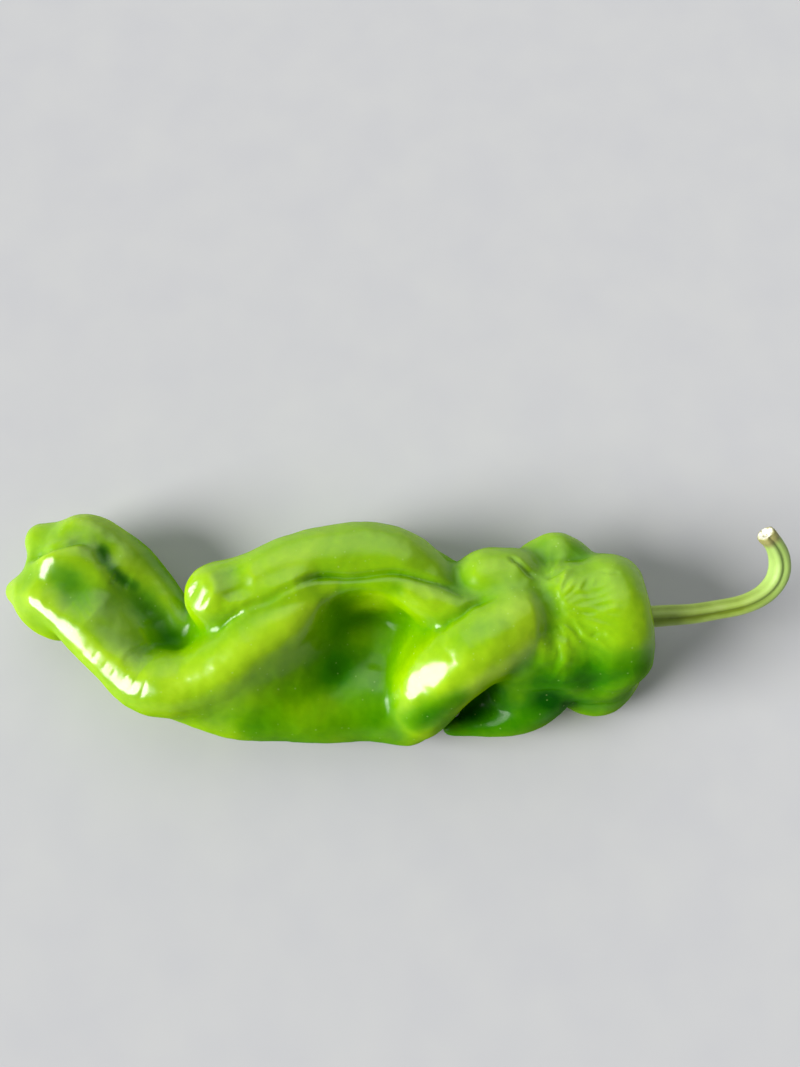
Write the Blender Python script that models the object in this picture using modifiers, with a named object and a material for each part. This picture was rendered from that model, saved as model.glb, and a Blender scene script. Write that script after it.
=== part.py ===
"""A fresh green chilli pepper: one long fruit that grew twisted and folded, its calyx and its stem.

Metres, +Z up. The pepper lies on its side on the plane z = 0, and the origin is on that plane, below
the middle of the whole pepper. +X runs from the blossom end to the stem, and the stem hooks to +Y.

The fruit is built as it grew, from fleshy lobes that wind round each other. Each lobe is a rounded
tube along its own curve. The lobes are fused and softened in three groups: the flesh inside, the
folds that run over it, and the lobes that lie against the rest with a crease between. Then furrows
are pressed where lobes meet.
"""

import math

import bmesh
import bpy
import numpy as np
from mathutils import Vector

MM = 0.001

# Each lobe is a list of (x, y, z, radius) in millimetres, from the blossom end to the stem end.

# The flesh inside: the head at the blossom end, the belly along -Y and the spine along +Y
HEAD_CORE = [
    (-82, 14.5, 10, 8),
    (-76, 9.5, 10.5, 10.5),
    (-69.5, 3.5, 10.5, 9),
    (-62, -5, 8.5, 8),
    (-54, -12, 11, 8),
]
HEAD_FLESH = [
    (-72, 16, 13, 7.5),
    (-66, 13.5, 12.5, 7.5),
    (-61, 9, 10.5, 7),
    (-56, 5, 9.5, 6),
    (-51, 0, 10.5, 6.5),
]
FACE_FLESH = [(-80, 11, 13.5, 8), (-73, 8, 13.5, 8), (-67, 3, 13, 8), (-61, -3, 12, 8)]
BELLY = [
    (-54, -13, 12, 7.5),
    (-46, -14.5, 11, 9),
    (-34, -16.5, 10, 10),
    (-22, -17.5, 9.5, 9.5),
    (-11.5, -18, 9, 9),
    (-3, -18.5, 9, 8),
    (4, -21.5, 9, 6),
]
SPINE = [
    (-54.5, -9.5, 9, 7.5),
    (-46, -7, 10, 8),
    (-37, 0, 12, 9),
    (-22.5, 11, 11, 10),
    (-10.5, 15.5, 11, 10.5),
    (2, 13.5, 11, 10.5),
    (11.5, 7, 12, 11),
    (21, 2.5, 13, 13),
    (33, 1, 15, 14),
    (44.5, 1, 17, 14),
]
# Between belly and spine: the floor of the hollow, its ledge, and the slope up to the front ridge
FLOOR = [(-30, -9, 11, 9.5), (-17, -6, 10.5, 9), (-5, -2, 6.5, 8), (5, -4.5, 8.5, 8)]
LEDGE = [(-11, -12, 8, 8.5), (-5, -15, 9.5, 9), (-1, -19, 9.5, 8.5)]
SLOPE = [(-44, -14, 14, 8.5), (-32, -12.5, 14.5, 9), (-22, -12.5, 11.5, 8.5)]
RAMP = [(-42, -10, 16, 8.5), (-33, -7, 18, 9), (-26, -3, 18.5, 8.5), (-20, 1, 18, 7)]
# Under the front ridge, under the back lobe, and under the crease between the two
RIDGE_FLESH = [
    (-44, -11, 15, 9),
    (-30, -2, 17, 9.5),
    (-20, 6, 17, 8),
    (-11, 10.5, 16.5, 7.5),
    (5, 10.5, 17.5, 7),
]
NOSE_FLESH = [(-37, 6, 15, 7.5), (-25, 11.5, 16, 9), (-12, 15.5, 16, 9.5), (2, 14, 16, 9)]
CREASE_FLESH = [
    (-36, 2, 19, 7.5),
    (-28, 6.5, 20.5, 8),
    (-20, 10.5, 20.5, 8.5),
    (-11, 13.5, 20, 8),
    (1, 13.5, 20, 8),
    (9, 9.5, 20.5, 7.5),
]
# Under the cross fold and the shoulder, and the curtain that hangs from them to the keel
FOLD_FLESH = [(25, 7, 19.5, 9.5), (30, 3, 19.5, 11), (31, -4, 18, 11)]
SHOULDER_CORE = [(40.5, 5, 19.5, 11.5), (39.5, -4, 18.5, 11)]
CURTAIN = [(29, -12, 12, 7), (36, -10.5, 14, 7), (42, -10, 14.5, 7), (50, -10, 14, 8)]
FLESH = (
    HEAD_CORE,
    HEAD_FLESH,
    FACE_FLESH,
    BELLY,
    SPINE,
    FLOOR,
    LEDGE,
    SLOPE,
    RAMP,
    RIDGE_FLESH,
    NOSE_FLESH,
    CREASE_FLESH,
    FOLD_FLESH,
    SHOULDER_CORE,
    CURTAIN,
)

# The folds: two ridges that run from the head, the fold that crosses over them, and the shoulder
FACE_RIM = [(-83, 15.5, 14, 6), (-78, 17, 16.5, 6.5), (-72, 16, 16.5, 6), (-68, 11, 15, 6)]
FRONT_RIDGE = [
    (-83, 7.5, 16, 5.5),
    (-77, 3, 17.5, 5),
    (-72, -1.5, 18, 5),
    (-65, -8, 18, 5),
    (-58.5, -12.5, 17, 7),
    (-52, -13, 17.5, 8),
    (-44.5, -12, 18.5, 8),
    (-37, -8, 20.5, 8),
    (-29, -2.5, 21.5, 8),
    (-21, 4, 22.5, 7),
    (-15.5, 8.5, 24, 4.5),
    (-10.5, 9.8, 25, 3.3),
    (-5, 9.8, 25.5, 3),
    (1, 9, 25, 3.6),
    (7, 6, 24.5, 5),
    (12, 4, 24.5, 5),
    (16.5, 3, 25, 4.5),
]
BACK_RIDGE = [
    (-86, 22, 12, 5),
    (-81, 22.5, 13, 4.5),
    (-75, 22.5, 15, 6),
    (-68, 19, 14, 6),
    (-62, 14, 12.5, 6),
    (-56, 7.5, 11.5, 5.5),
    (-51, 1.5, 11, 5),
    (-46.5, -3, 11, 5),
]
TIP = [(-91.5, 9.5, 11.5, 3.5), (-87, 9, 13.5, 5.5), (-85, 4.5, 12.5, 5), (-81, 2, 12, 5)]
CROSS_FOLD = [
    (31, 1.5, 22, 9.5),
    (26.5, -1, 24, 9),
    (21, -4.5, 24.5, 9),
    (16, -7.5, 23.5, 9),
    (11.5, -11, 21, 9),
    (8, -16, 16.5, 8.5),
    (5.5, -20.5, 12, 7),
    (4, -23, 10, 5),
]
CROSS_SKIRT = [(10, -2, 18, 6), (7, -10, 15, 7), (5.5, -17, 12, 7), (3.5, -21.5, 10, 6)]
SHOULDER = [(50, 7, 20.5, 10.5), (51.5, 0.5, 22, 10.5), (51, -5.5, 20.5, 9.5)]
KEEL = [(43.5, -12, 8, 6), (49.5, -14.5, 7, 6.5), (54, -10.5, 9, 6.5)]
WEB = [(19, -17, 5, 3.5), (28.5, -14, 8, 6)]
FOLDS = (FACE_RIM, FRONT_RIDGE, BACK_RIDGE, TIP, CROSS_FOLD, CROSS_SKIRT, SHOULDER, KEEL, WEB)

# The lobes that lie against the rest with a sharp crease between
BACK_LOBE = [
    (-40, 7, 20, 8.8),
    (-33, 9, 20.5, 8.3),
    (-25, 12.5, 20.5, 8.5),
    (-14.5, 15.3, 20, 9),
    (-4, 15.8, 20, 9),
    (4, 13.5, 20.5, 8),
    (11, 9.5, 20.5, 6),
    (16, 6, 20, 5),
]
BULB = [(22.5, 10.5, 20, 8.5), (28, 11, 20.5, 8)]
BUD = [(35, 16.5, 17, 5), (39, 17.5, 18.5, 5.5), (43, 16.5, 18, 5)]
FLANGE = [
    (14, -23, 6, 2.5),
    (20, -22.5, 6.5, 3),
    (27, -21, 8, 4.5),
    (33, -18.5, 10, 5.5),
    (37, -15.5, 12, 5.5),
]
CREASED_LOBES = (BACK_LOBE, BULB, BUD, FLANGE)

# How many smoothing passes melt each group together
FLESH_MELT = 30
FOLD_MELT = 12
CREASE_MELT = 6
LAST_MELT = 3

# Furrows: the path along the skin, how far the push reaches to each side, and its depth
FURROWS = [
    # the valley in the head
    ([(-64, 5, 14), (-59, 1, 12), (-55, -1.5, 12), (-50, -3, 14)], 5, 2),
    # between the face of the head and the small lobes behind it
    ([(-86, 18, 19), (-81.5, 20, 20), (-74.5, 21.5, 20), (-70, 19.5, 20), (-68, 16.5, 19)], 3.5, 1.2),
    ([(-68, 16.5, 19), (-65, 11, 17), (-59.5, 5, 15)], 4, 1.5),
    # between the bulb, the cross fold and the shoulder
    ([(31, 19, 26), (35, 12, 30), (37.5, 4, 31), (41, -4, 30), (43, -10, 24)], 6, 0.5),
    # two grooves that wind along the underside
    ([(-70, 2, 2), (-50, -6, 3), (-28, -6, 1), (-5, -6, 1), (15, -4, 1), (36, 3, 2)], 6, 2),
    ([(-40, 6, 4), (-22, 6, 1), (0, 6, 1), (18, 10, 3)], 5, 1.5),
]

# The seat is the bowl in the shoulder that holds the calyx. The stem's axis leaves it along AXIS.
SEAT = (60, 2.5, 19)
AXIS = (1, 0.1, 0)
SEAT_REACH = 12
SEAT_DEPTH = 7

# The calyx: a star with a collar round the stem's foot
CALYX_RADIUS = 5.5
TOOTH_HEIGHT = 1.4
TEETH = 5
STAR_STEPS = 60
STAR_RINGS = 8
CALYX_THICKNESS = 1.2
COLLAR_HEIGHT = 1.8
COLLAR_FOOT_RADIUS = 3.4
COLLAR_TOP_RADIUS = 2.8
CALYX_VOXEL = 0.3
CALYX_MELT = 2

# The clear space between the pieces
GAP = 0.5

# The stem, from above the calyx to its cut end. Its foot takes the collar's top radius.
STEM = [
    (61.5, 2.6, 19, 2.6),
    (70, 3.5, 19, 2.3),
    (76.5, 4.5, 19, 2.2),
    (81.5, 5.5, 19.5, 2.2),
    (85.5, 7.5, 20.2, 2.3),
    (88.5, 10, 21.2, 2.5),
    (90, 13, 22.5, 2.6),
    (89.5, 16, 24.2, 2.5),
    (87.5, 18.5, 26.2, 2.2),
    (85, 20.5, 28, 2.1),
]
RIBS = 5
RIB_HEIGHT = 0.08
SECTION_POINTS = 15

# The skin under the pepper is pressed flat by its weight, to this depth.
SINK = 1.2

VOXEL = 0.9
FRUIT_TRIANGLES = 8000
CALYX_TRIANGLES = 1000

# name: (colour, roughness)
SKINS = {
    "fruit": ((0.13, 0.36, 0.01), 0.2),
    "calyx": ((0.16, 0.33, 0.03), 0.5),
    "stem": ((0.3, 0.43, 0.09), 0.5),
}


def clear_scene():
    for obj in list(bpy.data.objects):
        bpy.data.objects.remove(obj)


def add_object(name, data):
    obj = bpy.data.objects.new(name, data)
    bpy.context.scene.collection.objects.link(obj)
    return obj


def as_mesh(obj, name):
    """The object with its modifiers applied, as a new mesh object. The old one is removed."""
    bpy.context.view_layer.update()
    graph = bpy.context.evaluated_depsgraph_get()
    mesh = bpy.data.meshes.new_from_object(obj.evaluated_get(graph))
    mesh.transform(obj.matrix_world)
    bpy.data.objects.remove(obj)
    mesh.name = name
    shape = bmesh.new()
    shape.from_mesh(mesh)
    bmesh.ops.remove_doubles(shape, verts=shape.verts, dist=0.01 * MM)
    shape.to_mesh(mesh)
    shape.free()
    return add_object(name, mesh)


def tube(name, points, section=None):
    """A tube through the points, with each point's radius.

    section is the curve that gives its outline across, or None if it is round.
    """
    curve = bpy.data.curves.new(name, "CURVE")
    curve.dimensions = "3D"
    curve.resolution_u = 6
    curve.use_fill_caps = True
    if section:
        curve.bevel_mode = "OBJECT"
        curve.bevel_object = section
    else:
        curve.bevel_depth = MM
        curve.bevel_resolution = 8
    spline = curve.splines.new("BEZIER")
    spline.radius_interpolation = "CARDINAL"
    spline.bezier_points.add(len(points) - 1)
    for knot, (x, y, z, radius) in zip(spline.bezier_points, points):
        knot.co = Vector((x, y, z)) * MM
        knot.radius = radius
        knot.handle_left_type = "AUTO"
        knot.handle_right_type = "AUTO"
    return as_mesh(add_object(name, curve), name)


def ball(point):
    """A ball at (x, y, z, radius)."""
    x, y, z, radius = point
    mesh = bpy.data.meshes.new("ball")
    shape = bmesh.new()
    bmesh.ops.create_uvsphere(shape, u_segments=32, v_segments=16, radius=radius * MM)
    bmesh.ops.translate(shape, verts=shape.verts, vec=Vector((x, y, z)) * MM)
    shape.to_mesh(mesh)
    shape.free()
    return add_object("ball", mesh)


def lobes(*tables):
    """The pieces of each lobe: a tube, and a ball that rounds each end of it."""
    pieces = []
    for points in tables:
        pieces += [ball(points[0]), ball(points[-1]), tube("lobe", points)]
    return pieces


def fuse(name, pieces, voxel, melt_passes):
    """One skin round all the pieces, which melt_passes of smoothing melt together."""
    shape = bmesh.new()
    for piece in pieces:
        shape.from_mesh(piece.data)
        bpy.data.objects.remove(piece)
    mesh = bpy.data.meshes.new(name)
    shape.to_mesh(mesh)
    shape.free()
    obj = add_object(name, mesh)
    skin = obj.modifiers.new("skin", "REMESH")
    skin.mode = "VOXEL"
    skin.voxel_size = voxel * MM
    melt = obj.modifiers.new("melt", "SMOOTH")
    melt.factor = 0.5
    melt.iterations = melt_passes
    return as_mesh(obj, name)


def thin_out(obj, triangles):
    """The same shape with about this many triangles."""
    count = sum(len(face.vertices) - 2 for face in obj.data.polygons)
    fewer = obj.modifiers.new("fewer", "DECIMATE")
    fewer.ratio = triangles / count
    fewer.use_collapse_triangulate = True
    return as_mesh(obj, obj.data.name)


def vertex_array(mesh, attribute):
    values = np.empty(3 * len(mesh.vertices))
    mesh.vertices.foreach_get(attribute, values)
    return values.reshape(-1, 3)


def press(obj, path, reach, depth):
    """Pushes the skin in by depth along a path of (x, y, z) points.

    All in millimetres. The push fades to nothing at the distance reach from the path.
    """
    spots = vertex_array(obj.data, "co") / MM
    normals = vertex_array(obj.data, "normal")
    nearest = np.full(len(spots), np.inf)
    for start, end in zip(path, path[1:]):
        step = np.subtract(end, start)
        along = np.clip((spots - start) @ step / (step @ step), 0, 1)
        nearest = np.minimum(nearest, np.linalg.norm(spots - start - along[:, None] * step, axis=1))
    fade = np.clip(1 - (nearest / reach) ** 2, 0, 1) ** 2
    spots -= normals * (depth * fade)[:, None]
    obj.data.vertices.foreach_set("co", spots.ravel() * MM)
    obj.data.update()


def sink_seat(obj):
    """The shoulder draws in round the stem: a bowl pushed straight back along the stem's axis."""
    axis = np.array(Vector(AXIS).normalized())
    spots = vertex_array(obj.data, "co") / MM
    offset = spots - SEAT
    aside = np.linalg.norm(offset - (offset @ axis)[:, None] * axis, axis=1)
    fade = np.clip(1 - (aside / SEAT_REACH) ** 2, 0, 1) ** 2
    fade *= np.clip(offset @ axis / SEAT_REACH + 1, 0, 1)
    spots -= np.outer(fade * SEAT_DEPTH, axis)
    obj.data.vertices.foreach_set("co", spots.ravel() * MM)
    obj.data.update()


def lay_down(obj):
    """Lowers the object by SINK. What would then reach below the plane lies flat on it."""
    for vertex in obj.data.vertices:
        vertex.co.z = max(vertex.co.z - SINK * MM, 0)


def make_fruit():
    flesh = fuse("flesh", lobes(*FLESH), VOXEL, FLESH_MELT)
    folded = fuse("folded", [flesh] + lobes(*FOLDS), VOXEL, FOLD_MELT)
    fruit = fuse("fruit", [folded] + lobes(*CREASED_LOBES), VOXEL, CREASE_MELT)
    for path, reach, depth in FURROWS:
        press(fruit, path, reach, depth)
    sink_seat(fruit)
    return thin_out(fuse("fruit", [fruit], VOXEL, LAST_MELT), FRUIT_TRIANGLES)


def seat_distance(fruit):
    """How far from SEAT the fruit's skin is, along the stem's axis, in metres."""
    axis = Vector(AXIS).normalized()
    start = Vector(SEAT) * MM + axis * SEAT_REACH * MM
    found, spot, _, _ = fruit.ray_cast(start, -axis)
    assert found, "the stem's axis misses the fruit"
    return (spot - Vector(SEAT) * MM).dot(axis)


def make_calyx(fruit):
    """A star that lies on the bowl, a little clear of it, with a collar for the stem."""
    axis = Vector(AXIS).normalized()
    facing = axis.to_track_quat("Z", "Y")
    star = bmesh.new()
    middle = star.verts.new((0, 0, 0))
    loops = []
    for ring in range(1, STAR_RINGS + 1):
        loop = []
        for step in range(STAR_STEPS):
            turn = math.tau * step / STAR_STEPS
            part = ring / STAR_RINGS
            radius = (CALYX_RADIUS + TOOTH_HEIGHT * math.cos(TEETH * turn)) * part * MM
            loop.append(star.verts.new((radius * math.cos(turn), radius * math.sin(turn), 0)))
        loops.append(loop)
    for step in range(STAR_STEPS):
        after = (step + 1) % STAR_STEPS
        star.faces.new((middle, loops[0][step], loops[0][after]))
        for inner, outer in zip(loops, loops[1:]):
            star.faces.new((inner[step], outer[step], outer[after], inner[after]))
    mesh = bpy.data.meshes.new("star")
    star.to_mesh(mesh)
    star.free()
    obj = add_object("star", mesh)
    obj.location = Vector(SEAT) * MM + axis * SEAT_REACH * MM
    obj.rotation_mode = "QUATERNION"
    obj.rotation_quaternion = facing
    lie = obj.modifiers.new("lie", "SHRINKWRAP")
    lie.target = fruit
    lie.wrap_method = "PROJECT"
    lie.use_project_z = True
    lie.use_positive_direction = False
    lie.use_negative_direction = True
    lie.wrap_mode = "ABOVE_SURFACE"
    lie.offset = GAP * MM
    thick = obj.modifiers.new("thick", "SOLIDIFY")
    thick.thickness = CALYX_THICKNESS * MM
    thick.offset = 1
    star_solid = as_mesh(obj, "star")
    floor = Vector(SEAT) * MM + axis * seat_distance(fruit)
    base = (floor + axis * (GAP + CALYX_THICKNESS) * MM) / MM
    top = base + axis * COLLAR_HEIGHT
    collar = tube("collar", [(*base, COLLAR_FOOT_RADIUS), (*top, COLLAR_TOP_RADIUS)])
    return thin_out(fuse("calyx", [star_solid, collar], CALYX_VOXEL, CALYX_MELT), CALYX_TRIANGLES)


def ribbed_section():
    """The stem's outline across, one unit in radius, with a soft rib for each of its strands."""
    curve = bpy.data.curves.new("section", "CURVE")
    curve.dimensions = "2D"
    spline = curve.splines.new("POLY")
    spline.points.add(SECTION_POINTS - 1)
    spline.use_cyclic_u = True
    for index, point in enumerate(spline.points):
        turn = -math.tau * index / SECTION_POINTS
        radius = (1 + RIB_HEIGHT * math.cos(RIBS * turn)) * MM
        point.co = (radius * math.cos(turn), radius * math.sin(turn), 0, 1)
    return add_object("section", curve)


def make_stem(calyx):
    axis = Vector(AXIS).normalized()
    start = Vector(SEAT) * MM + axis * SEAT_REACH * MM
    found, spot, _, _ = calyx.ray_cast(start, -axis)
    assert found, "the stem's axis misses the calyx"
    foot = (spot + axis * GAP * MM) / MM
    section = ribbed_section()
    stem = tube("stem", [(*foot, COLLAR_TOP_RADIUS)] + STEM, section)
    bpy.data.objects.remove(section)
    return stem


def finish(obj, name, collection):
    """Names the object, gives it its skin and puts it in the pepper's collection."""
    obj.name = name
    colour, roughness = SKINS[name]
    skin = bpy.data.materials.new(name)
    skin.use_nodes = True
    shader = skin.node_tree.nodes["Principled BSDF"]
    shader.inputs["Base Color"].default_value = (*colour, 1)
    shader.inputs["Roughness"].default_value = roughness
    obj.data.materials.clear()
    obj.data.materials.append(skin)
    obj.data.shade_smooth()
    bpy.context.scene.collection.objects.unlink(obj)
    collection.objects.link(obj)


def main():
    clear_scene()
    pepper = bpy.data.collections.new("chilli_pepper")
    bpy.context.scene.collection.children.link(pepper)
    fruit = make_fruit()
    calyx = make_calyx(fruit)
    stem = make_stem(calyx)
    for obj, name in ((fruit, "fruit"), (calyx, "calyx"), (stem, "stem")):
        lay_down(obj)
        finish(obj, name, pepper)


main()
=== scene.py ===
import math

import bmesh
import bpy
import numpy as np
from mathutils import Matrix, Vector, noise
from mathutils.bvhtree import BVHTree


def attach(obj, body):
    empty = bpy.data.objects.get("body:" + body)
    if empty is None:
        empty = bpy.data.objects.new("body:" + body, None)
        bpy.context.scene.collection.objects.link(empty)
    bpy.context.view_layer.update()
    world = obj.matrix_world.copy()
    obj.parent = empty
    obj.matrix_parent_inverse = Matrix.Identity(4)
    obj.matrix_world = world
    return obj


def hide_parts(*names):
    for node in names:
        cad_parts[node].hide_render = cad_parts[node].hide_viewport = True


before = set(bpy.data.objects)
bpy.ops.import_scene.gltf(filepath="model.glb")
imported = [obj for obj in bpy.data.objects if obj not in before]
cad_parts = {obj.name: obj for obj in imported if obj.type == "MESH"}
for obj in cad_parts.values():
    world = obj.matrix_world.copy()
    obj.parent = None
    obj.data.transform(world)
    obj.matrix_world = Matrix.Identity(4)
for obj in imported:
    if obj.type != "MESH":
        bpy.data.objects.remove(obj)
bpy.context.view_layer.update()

# The looks of a fresh green chilli pepper that lies on its side.
#
# The fruit, the calyx and the stem are each one finer mesh in the place of their CAD node. The fruit
# starts from the CAD solid. Its creases, hollows and wrinkles are then worked into the skin as strokes
# along lines. The points of a line are in millimetres: +X runs to the stem and +Z is up.

MM = 0.001

# How fine the fruit's skin is, in millimetres, and how many times it is smoothed
SKIN_VOXEL = 0.45
SKIN_SMOOTHING = 5
# The lines are followed with this step, in millimetres, and looked for this far from a vertex
LINE_STEP = 0.3
FARTHEST = 15
# The lowest that the skin comes to the floor, in millimetres
LOWEST = 0.02

# Creases where one lobe folds over its neighbour: (line, reach to each side, depth)
CREASES = [
    # between the back lobe and the front ridge
    (
        [
            (-41, -4, 23.5),
            (-36, 1.5, 24.5),
            (-32, 4, 26),
            (-27.5, 5.5, 27),
            (-23.5, 7.5, 27.5),
            (-17, 10.3, 28),
            (-9, 10.3, 27.5),
            (-1, 11.2, 28),
            (4, 11, 28),
            (8, 10, 27),
            (13, 8, 25.5),
            (17, 5.5, 27),
        ],
        1.7,
        1.4,
    ),
    # between the front ridge and the cross fold
    (
        [(9, -2, 26), (12, 0, 27.5), (15.5, 2, 28.5), (18, 4, 28), (20.5, 5, 27.5), (24, 6, 28.5)],
        1.8,
        0.9,
    ),
    # round the face of the head
    (
        [
            (-88, 15.5, 16),
            (-84.5, 17, 17.5),
            (-80.5, 18.5, 20.5),
            (-77, 19.5, 21),
            (-73.5, 20, 20),
            (-70, 18, 19),
        ],
        2,
        1.1,
    ),
    # the shoulder's small creases
    ([(26.5, 16.5, 26), (29, 14.5, 27), (31, 12, 26.5), (33, 10, 26)], 1.4, 0.7),
    ([(35, 9.5, 25.5), (37.5, 10.5, 25.5), (40.5, 13, 25.5)], 1.4, 0.6),
    ([(38, 14.5, 23), (42, 15, 22.5), (46.5, 16.5, 22.5)], 1.6, 0.3),
]

# Fine wrinkles: (line, reach, depth)
WRINKLES = [
    # across the front ridge
    ([(-68.5, -8, 20), (-66, -5, 22), (-65, -3.5, 21.5)], 0.8, 0.12),
    ([(-66, -10, 20.5), (-64, -7.5, 22), (-62.5, -5.5, 21.5)], 0.7, 0.14),
    ([(-64, -12, 20.5), (-62, -9.5, 22), (-60.5, -7.5, 22)], 0.7, 0.14),
    ([(-61.5, -13.5, 21), (-60, -11.5, 22.5), (-58.5, -9, 22.5)], 0.8, 0.14),
    ([(-59.5, -15.5, 21), (-58, -13, 22.5), (-57, -11, 23)], 0.8, 0.12),
    ([(-56.5, -16.5, 21.5), (-55.5, -14, 23), (-55, -12, 23.5)], 0.9, 0.12),
    # on the shoulder
    ([(40, 6, 28), (42, 6.3, 28.5), (44.5, 6, 29)], 0.9, 0.3),
    ([(41, 2.8, 28.5), (43.5, 2, 29), (45.5, 2, 29.5)], 0.9, 0.3),
    ([(44, -3, 28.5), (46, -2.2, 29), (47.5, -3, 29.5)], 1.0, 0.25),
    ([(47, 11.5, 28), (49, 11, 28.5), (51.5, 11.2, 28.5)], 0.9, 0.2),
    ([(39, 1, 27.5), (41, -1, 27.5), (42, -3, 27.5)], 1.0, 0.25),
    # along the keel
    ([(39, -17, 15.5), (44.5, -17, 11), (49.5, -17, 11.5), (54, -16.5, 11.5)], 1.1, 0.3),
    # where the front ridge runs under the cross fold
    ([(4.5, 1.5, 20), (6.5, -0.5, 22), (8.5, -1, 24.5), (10.5, 1, 26)], 1.0, 0.3),
    ([(11, -2, 27.5), (12, -1, 27.5), (13, 0.5, 27.5)], 0.9, 0.25),
]

# Where the skin is fuller, as by flesh under a crease: (line, reach, height)
FULLNESS = [
    # the cheek of the head
    ([(-74, 6, 20), (-67, 1, 20), (-60, -6, 20), (-55, -9, 21)], 7, 1.6),
    # both sides of the crease along the back lobe
    ([(-38, 1, 24), (-32, 4.5, 26), (-24, 8, 27), (-16, 10.5, 28)], 4.5, 1.0),
]

# Soft hollows: (line, reach, depth)
HOLLOWS = [
    # the flattened crests of the cross fold and of the back lobe's end
    ([(3, -16, 23), (6.5, -12.5, 26.5), (10.5, -7, 29.5), (15, -3, 31)], 6, 0.7),
    ([(-46.5, 9, 24.5), (-44, 7, 26), (-41, 5, 27)], 5, 0.6),
    # the saddle behind the back lobe's end
    ([(-37, 13, 23), (-35.5, 9, 26), (-34.5, 5, 26.5)], 5, 0.9),
    # the deep pit in the head, and the valley it opens into
    ([(-57.5, 6.5, 16.5), (-56, 3, 16), (-55, -0.5, 13), (-51, -3, 14), (-46, -4.5, 20)], 5, 1.0),
    # beside the face of the head
    ([(-66, 12, 19), (-62, 10.5, 17)], 3, 0.5),
    # between the cross fold and the shoulder
    ([(31, 9.5, 27.5), (34, 6, 27.5), (35, 2, 28.5), (35.5, -2, 28.5), (38, -5, 27)], 4.5, 0.9),
    ([(45, -14, 16), (48, -12.5, 23), (54, -11, 25)], 4, 0.6),
]

# Soft raised strands in the shoulder's valley and along its lower side: (line, reach, height)
STRANDS = [
    ([(34, -2.5, 29), (34, -6, 27), (33.5, -10, 24.5)], 2.2, 0.35),
    ([(37, -3, 27.5), (38.5, -6, 26.5), (38, -10, 25)], 2.2, 0.35),
    ([(28, -12, 18), (36, -12.5, 20), (44, -13.5, 20), (54, -14, 21)], 2.0, 0.3),
]

# Where the skin is darker: a deeper pigment in places, such as the face's marks, and painted shade in the
# hollows and on the lower sides: (line, reach, amount)
DEEP_GREEN_AND_PAINTED_SHADE = [
    # the hollow under the front ridge, and the band that runs from it along the belly: deeper pigment and
    # painted shade
    ([(-10, -3, 15), (-16, -9, 16)], 7, 0.05),
    ([(-7, 0, 15), (-14, -8, 17), (-22, -16, 17), (-33, -21, 16)], 8, 0.15),
    # the belly's lower side and its ledge, darkened as painted shade
    ([(-30, -24, 14), (-20, -24, 13), (-12, -22.5, 15.5), (0, -24, 12)], 8, 0.25),
    ([(-12, -10, 16), (-6, -14.5, 16.5), (-2, -18, 16)], 8, 0.26),
    ([(-34, -25, 6), (-20, -26.5, 6), (-5, -25, 6), (8, -25, 6)], 8, 0.25),
    # the hollow under the cross fold, and the flange below it, darkened as painted shade
    ([(14, -19, 10), (20, -16, 9), (27, -13, 12)], 7, 0.4),
    ([(10, -18, 19), (12, -20, 14)], 6, 0.25),
    ([(14, -24, 7), (22, -23, 9), (30, -22, 12), (36, -19, 14)], 8, 0.5),
    # the cross fold's lower end, darkened as painted shade, and its crest
    ([(5, -22, 20), (8.5, -19, 24), (14, -16, 25)], 5, 0.36),
    ([(16, -4, 31), (23.5, -1, 31.5)], 5, 0.18),
    # the rim over the hollow
    ([(-11, 8, 26), (-5, 8.5, 26.5), (1, 8, 27)], 3, 0.22),
    # the face's marks, which are pigment; the pit of the head, darkened as painted shade; and the dimple in
    # the face
    ([(-69, 18, 18), (-68.5, 15, 18)], 2.2, 0.3),
    ([(-66.5, 13.5, 18), (-64, 11.5, 17), (-61, 10, 17)], 2.0, 0.3),
    ([(-58, 6.5, 16), (-56.5, 2, 14), (-55, -2, 12)], 6, 0.18),
    ([(-78, 13, 20), (-76, 11, 20)], 4.5, 0.16),
    # behind the face, and the head's far side
    ([(-74, 8, 20), (-68, 4, 20)], 6, 0.1),
    ([(-64, 20, 13), (-56, 13, 12), (-48, 4, 11)], 4, 0.2),
    # the shoulder's lower side, darkened as painted shade
    ([(38, -11, 24), (46, -11, 25.5), (51, -11, 26.5), (57, -10, 26)], 8, 0.22),
    ([(50, -11, 26), (56, -9, 27), (60, -5, 27)], 7, 0.08),
    ([(41, -9, 26), (46, -9, 27), (49.5, -9.5, 27.5), (53, -9, 27.5)], 6, 0.1),
    ([(34, -11, 24), (38, -12.5, 23.5), (42, -12, 24)], 6, 0.1),
    ([(44, -12.5, 23), (50, -13, 23), (56, -12, 23)], 7, 0.14),
    # the curtain below the shoulder, and the keel, darkened as painted shade
    ([(28, -13, 17), (40, -13.5, 18), (52, -14.5, 17)], 8, 0.24),
    ([(30, -10, 24), (33.5, -12.5, 21), (36, -14, 18)], 7, 0.18),
    ([(42, -18, 12), (48, -19, 11), (54, -17, 10)], 8, 0.3),
    # the bump beside the shoulder
    ([(36, 20, 21), (40, 20, 22), (44, 19, 22)], 5, 0.15),
]
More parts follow.
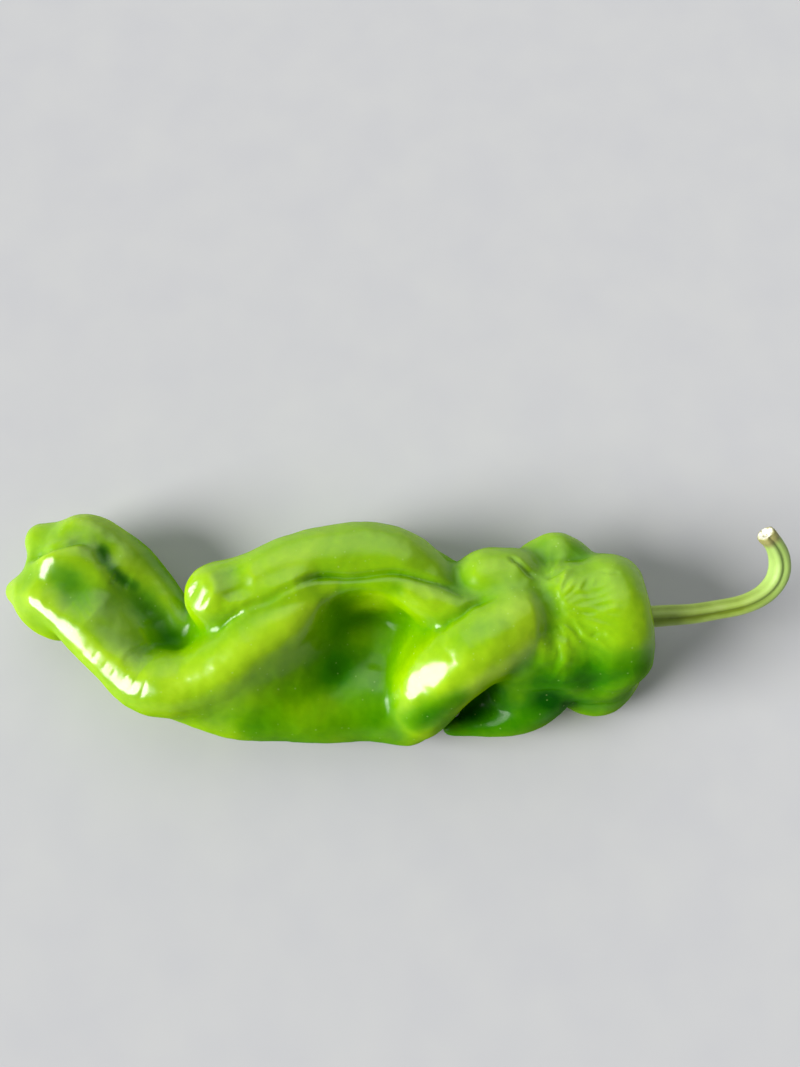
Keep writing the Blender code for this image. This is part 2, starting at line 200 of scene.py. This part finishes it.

# Where the skin is paler, as painted light: (line, reach, amount)
PALE_GREEN_PAINTED_LIGHT = [
    # the upper end of the hollow under the front ridge
    ([(-3, 4, 22), (-7, 0, 15)], 7, 0.25),
    # along the front ridge, from its crest to its rim over the hollow
    ([(-48, -13, 24), (-36, -9, 27), (-27, -2, 29), (-20, 3, 28)], 6, 0.15),
    ([(-15, 8, 28), (-5, 9.5, 28), (4, 9, 28), (12, 5, 28)], 3, 0.06),
    # the head's cheek, its near end and its far edge
    ([(-72, -4, 22), (-64, -9, 23), (-56, -12, 24)], 4, 0.12),
    ([(-84, 8, 21), (-77, 3, 21)], 5, 0.08),
    ([(-66, 17, 21), (-58, 12, 21), (-52, 5, 20)], 4, 0.12),
    # the back lobe's crest
    ([(-34, 7, 27), (-20, 15, 28)], 6, 0.1),
    # the cross fold
    ([(18, -12, 27.5), (24, -9, 28), (29, -5, 29)], 4, 0.15),
    ([(8, -14, 24), (14, -9, 31), (22, -3, 32), (29, 2, 31)], 8, 0.12),
]

# Where the skin's shine is dimmed, as painted shade: (line, reach)
DULLED_AS_PAINTED_SHADE = [
    # the valley that the pit of the head opens into
    ([(-50, -3, 14), (-45, -5, 20)], 4),
    # the hollow, and the band that runs from it along the belly
    ([(-3, 3.5, 24), (-7, 0, 15), (-14, -8, 17), (-22, -16, 17), (-33, -21, 16)], 10),
    ([(-30, -24, 14), (-20, -24, 13), (-12, -22.5, 15.5), (-3, -20, 16)], 8),
    ([(0, 0, 18), (0, -10, 18)], 5),
    # the cross fold's lower end, and the flange below it
    ([(5, -22, 20), (8.5, -19, 24), (14, -16, 25)], 4.5),
    ([(17, -23.5, 7), (21, -23.5, 8), (25, -23.5, 9.5), (30, -22.5, 12)], 8),
    # the shoulder's lower side and the curtain
    ([(34, -11, 24), (47, -11, 25.5), (56, -10.5, 26)], 7),
    ([(28, -13, 17), (40, -13.5, 18), (52, -14.5, 17)], 8),
]

# Soft lumps all over the skin: (width, height, seed)
RIPPLES = [(12, 0.45, 1), (4.5, 0.14, 2), (2, 0.06, 4)]

# Crinkles that spread from the shoulder's valley. They are deepest at CRINKLE_DISTANCE from its middle.
CRINKLE_MIDDLE = (35, 2, 25)
CRINKLE_DISTANCE = 10
CRINKLE_REACH = 7
CRINKLE_DEPTH = 0.6

# The skin's colour value, from 0, deep green, to 1, yellow-green. Raised skin is painted lighter and hollows
# darker, as painted light and painted shade.
PLAIN_TONE = 0.64
RAISED_LIGHT_HOLLOW_SHADE = 0.16

# The waxy coat's weight, and the part of it that is taken away as painted shade, dimming the reflections, on
# sides that face down, on sides that stand steep and along the dimmed lines
FULL_WAX = 0.85
LEAST_WAX = 0.08
SHADE_DIMMING_BELOW = 0.85
SHADE_DIMMING_ON_SIDES = 0.85
SHADE_DIMMING_ON_LINES = 0.95
# The direction, down and to the front, that lower sides face, where the reflections are dimmed as painted
# shade
LOWER_SIDE = (0, -0.8, -0.6)

# The brown point at the blossom end
SCAR = (-94, 9.5, 10)
SCAR_RADIUS = 1.0

# The stem's axis leaves the bowl in the shoulder along AXIS from SEAT.
SEAT = Vector((60, 2.5, 17.8))
AXIS = Vector((1, 0.1, 0)).normalized()

# The calyx: its teeth reach TOOTH_LENGTH past its edge.
CALYX_RADIUS = 5.3
TOOTH_LENGTH = 2.2
TEETH = 5
CALYX_AROUND = 120

# The stem's middle line, with its radius at each point
STEM_LINE = [
    (57.0, 2.2, 17.8, 2.9),
    (61.5, 2.5, 17.8, 2.5),
    (70, 3.1, 17.8, 2.3),
    (76.5, 4.1, 17.8, 2.2),
    (82, 5.2, 18.3, 2.2),
    (86.5, 7.2, 19, 2.25),
    (89.3, 10, 20, 2.35),
    (90.3, 13, 21.3, 2.4),
    (89.8, 16, 23, 2.3),
    (88, 18.5, 25, 2.1),
    (85.5, 20.5, 26.8, 2.0),
]
STEM_AROUND = 60
STEM_RIBS = 5
STEM_FIBRES = 23
# The torn end's rings: (part of the radius, depth below the edge)
TORN_RINGS = [(0.9, -0.15), (0.75, -0.2), (0.5, 0.1), (0.3, 0.5), (0.12, 0.6)]

# Light: directions are (azimuth, elevation) in degrees.
WINDOW = (-168, 29)
WINDOW_SPREAD = 36
WINDOW_STRENGTH = 5.3
BRIGHT_SIDE = (97, 44)
BRIGHT_STRENGTH = 1.2
ROOM_STRENGTH = 0.13
HORIZON_STRENGTH = 0.5
# The glow ends where the cosine of the angle from the bright side is this.
GLOW_EDGE = 0.72
# The haze thins between these heights on the unit sphere.
HAZE_HEIGHTS = (0.1, 0.5)

# Half the floor's side, in metres
FLOOR_REACH = 10

# The camera: its place in metres, its tilt from straight down in degrees, and its lens in millimetres
CAMERA_PLACE = (0.0019, -0.0205, 0.2198)
CAMERA_TILT = 12
CAMERA_LENS = 29.12


def add_object(name, mesh):
    obj = bpy.data.objects.new(name, mesh)
    bpy.context.scene.collection.objects.link(obj)
    return obj


def apply_modifiers(obj):
    """The object's mesh becomes what its modifiers make of it."""
    bpy.context.view_layer.update()
    graph = bpy.context.evaluated_depsgraph_get()
    old = obj.data
    obj.data = bpy.data.meshes.new_from_object(obj.evaluated_get(graph))
    obj.modifiers.clear()
    bpy.data.meshes.remove(old)


def smooth_line(points):
    """Points about LINE_STEP apart on a smooth line through the given points, in millimetres."""
    knots = [np.array(p, float) for p in points]
    knots = [2 * knots[0] - knots[1]] + knots + [2 * knots[-1] - knots[-2]]
    line = []
    for before, start, end, after in zip(knots, knots[1:], knots[2:], knots[3:]):
        steps = max(2, int(np.linalg.norm(end - start) / LINE_STEP))
        for t in np.arange(steps) / steps:
            bend = 2 * before - 5 * start + 4 * end - after
            twist = 3 * start - before - 3 * end + after
            line.append(start + 0.5 * t * ((end - before) + t * (bend + t * twist)))
    line.append(knots[-2])
    return np.array(line)


class Skin:
    """A mesh whose vertices are moved and coloured together, in millimetres."""

    def __init__(self, obj):
        self.mesh = obj.data
        count = len(self.mesh.vertices)
        self.spots = np.empty(3 * count)
        self.mesh.vertices.foreach_get("co", self.spots)
        self.spots = self.spots.reshape(-1, 3) / MM
        self.edges = np.empty(2 * len(self.mesh.edges), int)
        self.mesh.edges.foreach_get("vertices", self.edges)
        self.edges = self.edges.reshape(-1, 2)
        self.links = np.bincount(self.edges.ravel(), minlength=count)
        self.read_surface()

    def read_surface(self):
        """The surface that lines are laid on, and the directions that strokes push in."""
        self.write()
        normals = np.empty(3 * len(self.spots))
        self.mesh.vertices.foreach_get("normal", normals)
        normals = self.blurred(normals.reshape(-1, 3), 4)
        self.normals = normals / np.linalg.norm(normals, axis=1)[:, None]
        faces = [tuple(face.vertices) for face in self.mesh.polygons]
        self.surface = BVHTree.FromPolygons([tuple(spot) for spot in self.spots], faces)

    def blurred(self, values, passes):
        """Each vertex's values averaged with its neighbours', many times over."""
        first, second = self.edges.T
        for _ in range(passes):
            total = np.zeros_like(values)
            for column in range(values.shape[1]):
                total[:, column] = np.bincount(first, values[second, column], len(values))
                total[:, column] += np.bincount(second, values[first, column], len(values))
            values = (values + total / self.links[:, None]) / 2
        return values

    def nearness(self, points):
        """Where each vertex lies by the line laid on the skin.

        Gives its distance from the line, how far along the line it is, from 0 to 1, and how well its
        normal agrees with the skin's there, where 1 is the same way.
        """
        line, facing = [], []
        for point in smooth_line(points):
            spot, normal, _, _ = self.surface.find_nearest(Vector(point))
            line.append(spot)
            facing.append(normal)
        line, facing = np.array(line), np.array(facing)
        distance = np.full(len(self.spots), 1e3)
        along = np.zeros(len(self.spots))
        agreement = np.ones(len(self.spots))
        low, high = line.min(0) - FARTHEST, line.max(0) + FARTHEST
        near = np.all((self.spots > low) & (self.spots < high), axis=1)
        gaps = np.linalg.norm(self.spots[near][:, None, :] - line[None], axis=2)
        best = gaps.argmin(1)
        distance[near] = gaps[np.arange(len(best)), best]
        along[near] = best / (len(line) - 1)
        agreement[near] = np.einsum("ij,ij->i", self.normals[near], facing[best])
        return distance, along, agreement

    def mask(self, points, reach, sharp=False, taper=0.25):
        """1 on the line, falling to 0 at reach from it and, with a taper, at its ends."""
        distance, along, agreement = self.nearness(points)
        inside = np.clip(1 - distance / reach, 0, 1)
        profile = inside**1.6 if sharp else np.clip(1 - (distance / reach) ** 2, 0, 1) ** 2
        ends = np.clip(np.minimum(along, 1 - along) / taper, 0, 1) if taper else 1
        return profile * ends * np.clip(agreement * 2 + 0.6, 0, 1)

    def push(self, amount):
        """Moves each vertex out along its normal by its amount."""
        self.spots += self.normals * np.asarray(amount)[:, None]

    def write(self):
        """Puts the vertices back into the mesh, in metres."""
        self.mesh.vertices.foreach_set("co", self.spots.ravel() * MM)
        self.mesh.update()

    def store(self, name, values):
        """Keeps a number for each vertex, which the material reads by its name."""
        layer = self.mesh.attributes.new(name, "FLOAT", "POINT")
        layer.data.foreach_set("value", np.asarray(values, float))


def ripple(spots, size, seed):
    """A soft random value from -1 to 1 for each spot, with bumps about this many millimetres wide."""
    shift = Vector((seed * 7.3, seed * 3.1, seed * 5.7))
    return np.array([noise.noise(Vector(spot) / size + shift) for spot in spots])


# ---------------------------------------------------------------- materials


class Nodes:
    """A material's node tree, with short ways to add to it."""

    def __init__(self, name):
        self.material = bpy.data.materials.new(name)
        self.material.use_nodes = True
        self.tree = self.material.node_tree
        self.shader = self.tree.nodes["Principled BSDF"]
        self.coords = self.tree.nodes.new("ShaderNodeTexCoord").outputs["Object"]

    def link(self, source, target):
        self.tree.links.new(source, target)

    def set(self, **values):
        for name, value in values.items():
            self.shader.inputs[name.replace("_", " ")].default_value = value

    def attribute(self, name):
        found = self.tree.nodes.new("ShaderNodeAttribute")
        found.attribute_name = name
        return found.outputs["Fac"]

    def noise(self, scale, detail):
        """A soft random value. A scale of 100 gives clouds about 10 mm wide."""
        made = self.tree.nodes.new("ShaderNodeTexNoise")
        made.inputs["Scale"].default_value = scale
        made.inputs["Detail"].default_value = detail
        self.link(self.coords, made.inputs["Vector"])
        return made.outputs["Fac"]

    def cells(self, scale):
        """The distance to the nearest of many scattered points."""
        made = self.tree.nodes.new("ShaderNodeTexVoronoi")
        made.inputs["Scale"].default_value = scale
        self.link(self.coords, made.inputs["Vector"])
        return made.outputs["Distance"]

    def add(self, first, second):
        made = self.tree.nodes.new("ShaderNodeMath")
        made.operation = "ADD"
        self.link(first, made.inputs[0])
        self.link(second, made.inputs[1])
        return made.outputs[0]

    def spread(self, value, low, high, to_low, to_high):
        """value from low to high, turned into to_low to to_high."""
        made = self.tree.nodes.new("ShaderNodeMapRange")
        for name, number in (("From Min", low), ("From Max", high), ("To Min", to_low), ("To Max", to_high)):
            made.inputs[name].default_value = number
        self.link(value, made.inputs["Value"])
        return made.outputs["Result"]

    def ramp(self, value, stops):
        """The value turned into a colour, by stops of (position, colour)."""
        made = self.tree.nodes.new("ShaderNodeValToRGB")
        bar = made.color_ramp
        while len(bar.elements) < len(stops):
            bar.elements.new(0.5)
        for element, (position, colour) in zip(bar.elements, stops):
            element.position = position
            element.color = (*colour, 1)
        self.link(value, made.inputs["Fac"])
        return made.outputs["Color"]

    def mix(self, amount, first, second):
        """From the first colour to the second, which may be fixed, as the amount goes from 0 to 1."""
        made = self.tree.nodes.new("ShaderNodeMix")
        made.data_type = "RGBA"
        self.link(amount, made.inputs[0])
        self.link(first, made.inputs[6])
        if isinstance(second, tuple):
            made.inputs[7].default_value = (*second, 1)
        else:
            self.link(second, made.inputs[7])
        return made.outputs[2]

    def bump(self, height, depth):
        """depth is how deep the bump looks, in millimetres."""
        made = self.tree.nodes.new("ShaderNodeBump")
        made.inputs["Distance"].default_value = depth * MM
        self.link(height, made.inputs["Height"])
        return made.outputs["Normal"]


def pepper_material():
    """A taut waxy skin: deep green in the folds and yellow-green on the crests, partly its pigment and
    partly painted shade and painted light.
    """
    skin = Nodes("pepper_skin")
    # the colour value carries the pigment and also painted light and painted shade
    tone_and_painted_light = skin.attribute("tone_and_painted_light")
    clouds = skin.spread(skin.noise(90, 3), 0.3, 0.7, -0.05, 0.05)
    flecks = skin.spread(skin.noise(600, 2), 0.3, 0.7, -0.02, 0.02)
    tone_and_painted_light = skin.add(skin.add(tone_and_painted_light, clouds), flecks)
    colour = skin.ramp(
        tone_and_painted_light,
        [
            (0.0, (0.004, 0.07, 0.0)),
            (0.25, (0.03, 0.17, 0.0)),
            (0.5, (0.105, 0.3, 0.0)),
            (0.75, (0.24, 0.46, 0.0)),
            (1.0, (0.42, 0.65, 0.01)),
        ],
    )
    pores = skin.spread(skin.cells(420), 0.0, 0.12, 0.35, 0.0)
    colour = skin.mix(pores, colour, (0.5, 0.7, 0.2))
    colour = skin.mix(skin.attribute("scar"), colour, (0.16, 0.1, 0.04))
    skin.link(colour, skin.shader.inputs["Base Color"])
    skin.link(skin.spread(skin.noise(250, 2), 0.3, 0.7, 0.26, 0.34), skin.shader.inputs["Roughness"])
    skin.link(skin.bump(skin.noise(350, 3), 0.03), skin.shader.inputs["Normal"])
    # the coat's weight follows the attribute that is thinned as painted shade, dimming reflections there
    skin.link(skin.attribute("wax_and_painted_shade"), skin.shader.inputs["Coat Weight"])
    skin.set(IOR=1.4, Specular_IOR_Level=0, Coat_Roughness=0.2, Coat_IOR=1.6)
    skin.set(Subsurface_Weight=0.12, Subsurface_Radius=(0.6, 1.0, 0.15), Subsurface_Scale=0.002)
    return skin.material


def calyx_material():
    """A matt leafy green, paler along the veins that run out to the teeth."""
    leaf = Nodes("calyx_green")
    veins = leaf.attribute("vein")
    colour = leaf.ramp(
        leaf.add(veins, leaf.spread(leaf.noise(500, 3), 0.3, 0.7, -0.15, 0.15)),
        [(0.0, (0.07, 0.19, 0.02)), (0.5, (0.14, 0.3, 0.03)), (1.0, (0.3, 0.42, 0.09))],
    )
    leaf.link(colour, leaf.shader.inputs["Base Color"])
    leaf.link(leaf.spread(leaf.noise(800, 2), 0.3, 0.7, 0.45, 0.6), leaf.shader.inputs["Roughness"])
    leaf.link(leaf.bump(leaf.noise(1500, 3), 0.06), leaf.shader.inputs["Normal"])
    leaf.set(IOR=1.4)
    return leaf.material


def stem_material():
    """Green strands along the stem, paler round the hook, with a pale torn end that has a brown rim."""
    stalk = Nodes("stem_green")
    strands = stalk.attribute("strand")
    along = stalk.attribute("along")
    blotch = stalk.spread(stalk.noise(300, 3), 0.3, 0.7, -0.12, 0.12)
    body = stalk.ramp(
        stalk.add(strands, blotch),
        [(0.0, (0.17, 0.24, 0.015)), (0.5, (0.33, 0.46, 0.07)), (1.0, (0.45, 0.58, 0.16))],
    )
    hook = stalk.mix(stalk.spread(along, 0.5, 0.75, 0, 0.55), body, (0.38, 0.57, 0.17))
    rim = stalk.mix(stalk.spread(along, 0.93, 0.97, 0, 0.8), hook, (0.3, 0.24, 0.09))
    torn = stalk.ramp(stalk.noise(900, 2), [(0.35, (0.35, 0.32, 0.18)), (0.5, (0.78, 0.77, 0.62))])
    colour = stalk.mix(stalk.attribute("pith"), rim, torn)
    stalk.link(colour, stalk.shader.inputs["Base Color"])
    stalk.link(stalk.spread(stalk.noise(700, 2), 0.3, 0.7, 0.38, 0.55), stalk.shader.inputs["Roughness"])
    stalk.link(stalk.bump(stalk.noise(1200, 3), 0.05), stalk.shader.inputs["Normal"])
    stalk.set(IOR=1.4, Subsurface_Weight=0.1, Subsurface_Radius=(0.5, 0.8, 0.2), Subsurface_Scale=0.001)
    return stalk.material


# ---------------------------------------------------------------- the fruit


def make_fruit():
    """The CAD fruit, remade with small even faces, and then carved and coloured."""
    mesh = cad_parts["fruit"].data.copy()
    shape = bmesh.new()
    shape.from_mesh(mesh)
    bmesh.ops.remove_doubles(shape, verts=shape.verts, dist=0.001 * MM)
    shape.to_mesh(mesh)
    shape.free()
    obj = add_object("pepper_fruit", mesh)
    finer = obj.modifiers.new("finer", "SUBSURF")
    finer.levels = 1
    even = obj.modifiers.new("even", "REMESH")
    even.mode = "VOXEL"
    even.voxel_size = SKIN_VOXEL * MM
    soft = obj.modifiers.new("soft", "SMOOTH")
    soft.factor = 0.5
    soft.iterations = SKIN_SMOOTHING
    apply_modifiers(obj)
    skin = Skin(obj)
    carve(skin)
    colour(skin)
    skin.spots[:, 2] = np.maximum(skin.spots[:, 2], LOWEST)
    skin.write()
    obj.data.materials.clear()
    obj.data.materials.append(pepper_material())
    obj.data.shade_smooth()
    return obj


def carve(skin):
    """Works the creases, hollows and wrinkles into the skin."""
    for line, reach, height in FULLNESS:
        skin.push(height * skin.mask(line, reach))
    for line, reach, depth in HOLLOWS:
        skin.push(-depth * skin.mask(line, reach))
    for line, reach, height in STRANDS:
        skin.push(height * skin.mask(line, reach))
    for line, reach, depth in CREASES:
        skin.push(-depth * skin.mask(line, reach, sharp=True))
    for line, reach, depth in WRINKLES:
        skin.push(-depth * skin.mask(line, reach, sharp=True))
    skin.push(sum(height * ripple(skin.spots, width, seed) for width, height, seed in RIPPLES))
    crinkle(skin)


def crinkle(skin):
    """Crinkles that spread like rays from the shoulder's valley, on the side of the stem."""
    offset = skin.spots - CRINKLE_MIDDLE
    away = np.linalg.norm(offset, axis=1)
    turn = np.arctan2(offset[:, 1], offset[:, 0])
    crinkled = np.clip(1 - ((away - CRINKLE_DISTANCE) / CRINKLE_REACH) ** 2, 0, 1)
    crinkled = crinkled * np.clip(offset[:, 0] / 4 + 0.5, 0, 1)
    folds = ripple(np.stack([5.5 * turn, away / 5, offset[:, 2] / 8], axis=1), 1, 3)
    skin.push(CRINKLE_DEPTH * crinkled * (0.35 - np.abs(folds)))


def colour(skin):
    """Stores the colour value, which holds the pigment with painted light and painted shade; the waxy coat's
    weight, thinned as painted shade to dim reflections; and scar, 1 at the blossom end.
    """
    skin.read_surface()
    raised = np.einsum("ij,ij->i", skin.spots - skin.blurred(skin.spots, 250), skin.normals)
    # raised skin is painted lighter and hollows darker: painted light and painted shade
    tone_and_painted_light = PLAIN_TONE + RAISED_LIGHT_HOLLOW_SHADE * np.clip(raised, -1.5, 1)
    # the listed lines darken the skin, partly as deeper pigment and partly as painted shade
    for line, reach, amount in DEEP_GREEN_AND_PAINTED_SHADE:
        tone_and_painted_light -= amount * skin.mask(line, reach, taper=0)
    # the listed lines pale the skin as painted light
    for line, reach, amount in PALE_GREEN_PAINTED_LIGHT:
        tone_and_painted_light += amount * skin.mask(line, reach, taper=0)
    # the coat is thinned in hollows, on darker skin, on sides that face down or stand steep, and along the
    # dimmed lines: painted shade that takes its reflections away
    wax_and_painted_shade = FULL_WAX * np.clip(1 + raised / 1.8, 0.15, 1) * np.clip(tone_and_painted_light / 0.4, 0.3, 1)
    lowered = skin.normals @ LOWER_SIDE
    wax_and_painted_shade *= 1 - SHADE_DIMMING_BELOW * np.clip((lowered + 0.05) / 0.5, 0, 1)
    wax_and_painted_shade *= 1 - SHADE_DIMMING_ON_SIDES * np.clip((0.7 - skin.normals[:, 2]) / 0.5, 0, 1)
    for line, reach in DULLED_AS_PAINTED_SHADE:
        wax_and_painted_shade *= 1 - SHADE_DIMMING_ON_LINES * skin.mask(line, reach, taper=0)
    skin.store("wax_and_painted_shade", np.maximum(wax_and_painted_shade, LEAST_WAX))
    skin.store("tone_and_painted_light", tone_and_painted_light)
    scar = np.exp(-(np.linalg.norm(skin.spots - SCAR, axis=1) / SCAR_RADIUS) ** 2)
    skin.store("scar", scar)


# ---------------------------------------------------------------- the calyx and the stem


def ring_mesh(name, rings):
    """A skin through rings of points, in metres, closed at each end by a fan round one more vertex."""
    shape = bmesh.new()
    loops = [[shape.verts.new(point) for point in ring] for ring in rings]
    for lower, upper in zip(loops, loops[1:]):
        for step in range(len(lower)):
            after = (step + 1) % len(lower)
            shape.faces.new((lower[step], lower[after], upper[after], upper[step]))
    for loop, turned in ((loops[0], True), (loops[-1], False)):
        middle = shape.verts.new(sum((vert.co for vert in loop), Vector()) / len(loop))
        for step in range(len(loop)):
            pair = [loop[step], loop[(step + 1) % len(loop)]]
            if turned:
                pair.reverse()
            shape.faces.new((*pair, middle))
    bmesh.ops.recalc_face_normals(shape, faces=shape.faces)
    mesh = bpy.data.meshes.new(name)
    shape.to_mesh(mesh)
    shape.free()
    return mesh


def store(mesh, name, values):
    """Keeps a number for each vertex, which the material reads by its name."""
    layer = mesh.attributes.new(name, "FLOAT", "POINT")
    layer.data.foreach_set("value", np.asarray(values, float))


def make_calyx(fruit):
    """A cap with five pointed teeth that lies on the bowl and rises to the stem."""
    side = AXIS.cross(Vector((0, 0, 1))).normalized()
    up = side.cross(AXIS).normalized()
    graph = bpy.context.evaluated_depsgraph_get()
    surface = BVHTree.FromObject(fruit, graph)
    start = SEAT * MM + AXIS * 20 * MM

    def point(turn, part, lift):
        """A point on the cap, at this turn and part of the radius. lift is 0 underneath and 1 on top."""
        peak = (0.5 + 0.5 * math.cos(TEETH * turn)) ** 2
        radius = part * (CALYX_RADIUS + TOOTH_LENGTH * peak * part**2)
        aside = (side * math.cos(turn) + up * math.sin(turn)) * radius * MM
        spot, _, _, _ = surface.ray_cast(start + aside, -AXIS)
        vein = math.exp(-((1 - peak) / 0.12) ** 2)
        rise = 2.4 * (1 - min(1, max(0, (part - 0.42) / 0.35))) ** 2
        thickness = lift * (rise + 0.9 - 0.45 * part + 0.2 * vein * (1 - part)) + 0.12
        return spot + AXIS * MM * thickness, vein

    rings, veins = [], []
    outward = [0.3, 0.5, 0.7, 0.85, 1.0]
    inward = [1.0, 0.96, 0.9, 0.82, 0.74, 0.66, 0.58, 0.5, 0.42, 0.3]
    for parts, lift in ((outward, 0), (inward, 1)):
        for part in parts:
            turns = [math.tau * step / CALYX_AROUND for step in range(CALYX_AROUND)]
            ring = [point(turn, part, lift) for turn in turns]
            rings.append([spot for spot, _ in ring])
            veins += [vein * (0.4 + 0.6 * lift) for _, vein in ring]
    mesh = ring_mesh("calyx", rings)
    store(mesh, "vein", veins + [0.5, 0.5])
    obj = add_object("pepper_calyx", mesh)
    mesh.materials.append(calyx_material())
    mesh.shade_smooth()
    return obj


def make_stem():
    """A ribbed stalk with two grooves along it, which hooks round to a torn end."""
    places = smooth_line([point[:3] for point in STEM_LINE])
    lengths = np.cumsum(np.linalg.norm(np.diff(places, axis=0, prepend=places[:1]), axis=1))
    knots = []
    for point in STEM_LINE:
        knots.append(lengths[np.linalg.norm(places - point[:3], axis=1).argmin()])
    radii = np.interp(lengths, knots, [point[3] for point in STEM_LINE])
    side = Vector((0, 0, 1))
    rings, strand, along, pith = [], [], [], []
    total = lengths[-1]
    for index, (place, length, radius) in enumerate(zip(places, lengths, radii)):
        before, after = max(index - 1, 0), min(index + 1, len(places) - 1)
        tangent = Vector(places[after] - places[before]).normalized()
        side = (side - tangent * side.dot(tangent)).normalized()
        other = tangent.cross(side)
        ring = []
        for step in range(STEM_AROUND):
            turn = math.tau * step / STEM_AROUND
            ribs = 0.05 * math.cos(STEM_RIBS * turn + 0.4)
            groove = -0.14 * math.exp(-(((turn - 0.4) / 0.2) ** 2)) * min(1, 3 * length / total)
            groove -= 0.1 * math.exp(-(((turn - 3.4) / 0.25) ** 2))
            fibres = 0.012 * math.cos(STEM_FIBRES * turn + 2 * math.sin(length / 3))
            lump = 0.03 * noise.noise(Vector((math.cos(turn), math.sin(turn), length / 6)))
            collar = math.exp(-(((length - total + 1.2) / 0.8) ** 2)) * 0.08
            reach = radius * (1 + ribs + groove + fibres + lump + collar) * MM
            ring.append(Vector(place) * MM + (side * math.cos(turn) + other * math.sin(turn)) * reach)
            strand.append(0.5 + 4 * (ribs + groove + fibres))
            along.append(length / total)
            pith.append(0)
        rings.append(ring)
    # the torn end, pale and hollow in the middle
    for part, depth in TORN_RINGS:
        ring = []
        for step in range(STEM_AROUND):
            turn = math.tau * step / STEM_AROUND
            rough = noise.noise(Vector((3 * math.cos(turn), 3 * math.sin(turn), part * 9)))
            centre = Vector(places[-1]) - tangent * (depth + 0.25 * rough)
            reach = radii[-1] * (part + 0.1 * rough * part)
            ring.append((centre + (side * math.cos(turn) + other * math.sin(turn)) * reach) * MM)
            strand.append(0.5)
            along.append(1)
            pith.append(1 if part < 0.85 else 0.4)
        rings.append(ring)
    mesh = ring_mesh("stem", rings)
    store(mesh, "strand", strand + [0.5, 0.5])
    store(mesh, "along", along + [0, 1])
    store(mesh, "pith", pith + [0, 1])
    obj = add_object("pepper_stem", mesh)
    mesh.materials.append(stem_material())
    mesh.shade_smooth()
    return obj


# ---------------------------------------------------------------- floor, light and camera


def make_floor():
    """A broad pale sheet with a matt face."""
    mesh = bpy.data.meshes.new("floor")
    shape = bmesh.new()
    bmesh.ops.create_grid(shape, x_segments=1, y_segments=1, size=FLOOR_REACH)
    shape.to_mesh(mesh)
    shape.free()
    paper = Nodes("floor")
    shade = paper.ramp(paper.noise(60, 2), [(0.3, (0.53, 0.53, 0.54)), (0.7, (0.55, 0.55, 0.55))])
    paper.link(shade, paper.shader.inputs["Base Color"])
    paper.set(Roughness=0.9, Specular_IOR_Level=0)
    mesh.materials.append(paper.material)
    floor = add_object("floor", mesh)


def direction(azimuth, elevation):
    """The unit vector that way, from angles in degrees."""
    turn, lift = math.radians(azimuth), math.radians(elevation)
    return Vector((math.cos(turn) * math.cos(lift), math.sin(turn) * math.cos(lift), math.sin(lift)))


def make_window():
    """A broad soft light, far away to the left of the head."""
    data = bpy.data.lights.new("window", "SUN")
    data.angle = math.radians(WINDOW_SPREAD)
    data.energy = WINDOW_STRENGTH
    light = bpy.data.objects.new("window", data)
    light.rotation_euler = direction(*WINDOW).to_track_quat("Z", "Y").to_euler()
    bpy.context.scene.collection.objects.link(light)


def make_room():
    """A dim room, pale at the horizon, that brightens smoothly towards one side."""
    world = bpy.data.worlds.new("room")
    world.use_nodes = True
    tree = world.node_tree
    background = tree.nodes["Background"]
    background.inputs["Color"].default_value = (0.95, 0.98, 1, 1)
    toward = tree.nodes.new("ShaderNodeTexCoord")
    facing = tree.nodes.new("ShaderNodeVectorMath")
    facing.operation = "DOT_PRODUCT"
    facing.inputs[1].default_value = direction(*BRIGHT_SIDE)
    glow = tree.nodes.new("ShaderNodeMapRange")
    glow.interpolation_type = "SMOOTHSTEP"
    glow.inputs["From Min"].default_value = GLOW_EDGE
    glow.inputs["To Min"].default_value = 0
    glow.inputs["To Max"].default_value = BRIGHT_STRENGTH
    tree.links.new(toward.outputs["Generated"], facing.inputs[0])
    tree.links.new(facing.outputs["Value"], glow.inputs["Value"])
    height = tree.nodes.new("ShaderNodeSeparateXYZ")
    haze = tree.nodes.new("ShaderNodeMapRange")
    haze.interpolation_type = "SMOOTHSTEP"
    haze.inputs["From Min"].default_value = HAZE_HEIGHTS[0]
    haze.inputs["From Max"].default_value = HAZE_HEIGHTS[1]
    haze.inputs["To Min"].default_value = HORIZON_STRENGTH
    haze.inputs["To Max"].default_value = ROOM_STRENGTH
    both = tree.nodes.new("ShaderNodeMath")
    tree.links.new(toward.outputs["Generated"], height.inputs[0])
    tree.links.new(height.outputs["Z"], haze.inputs["Value"])
    tree.links.new(haze.outputs["Result"], both.inputs[0])
    tree.links.new(glow.outputs["Result"], both.inputs[1])
    tree.links.new(both.outputs["Value"], background.inputs["Strength"])
    bpy.context.scene.world = world


def make_stage():
    """A pale floor, a window and a dim room."""
    make_floor()
    make_window()
    make_room()
    bpy.context.scene.view_settings.view_transform = "Standard"


def make_camera():
    """A camera above the fruit that looks nearly straight down."""
    data = bpy.data.cameras.new("camera")
    data.lens = CAMERA_LENS
    data.clip_start = 0.005
    camera = bpy.data.objects.new("camera", data)
    camera.location = CAMERA_PLACE
    camera.rotation_euler = (math.radians(CAMERA_TILT), 0, 0)
    bpy.context.scene.collection.objects.link(camera)
    bpy.context.scene.camera = camera


def main():
    fruit = make_fruit()
    calyx = make_calyx(fruit)
    stem = make_stem()
    for piece, node, finish in (
        (fruit, "fruit", "pepper_skin"),
        (calyx, "calyx", "calyx_green"),
        (stem, "stem", "stem_green"),
    ):
        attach(piece, "root")
        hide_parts(node)
    make_stage()
    make_camera()


main()
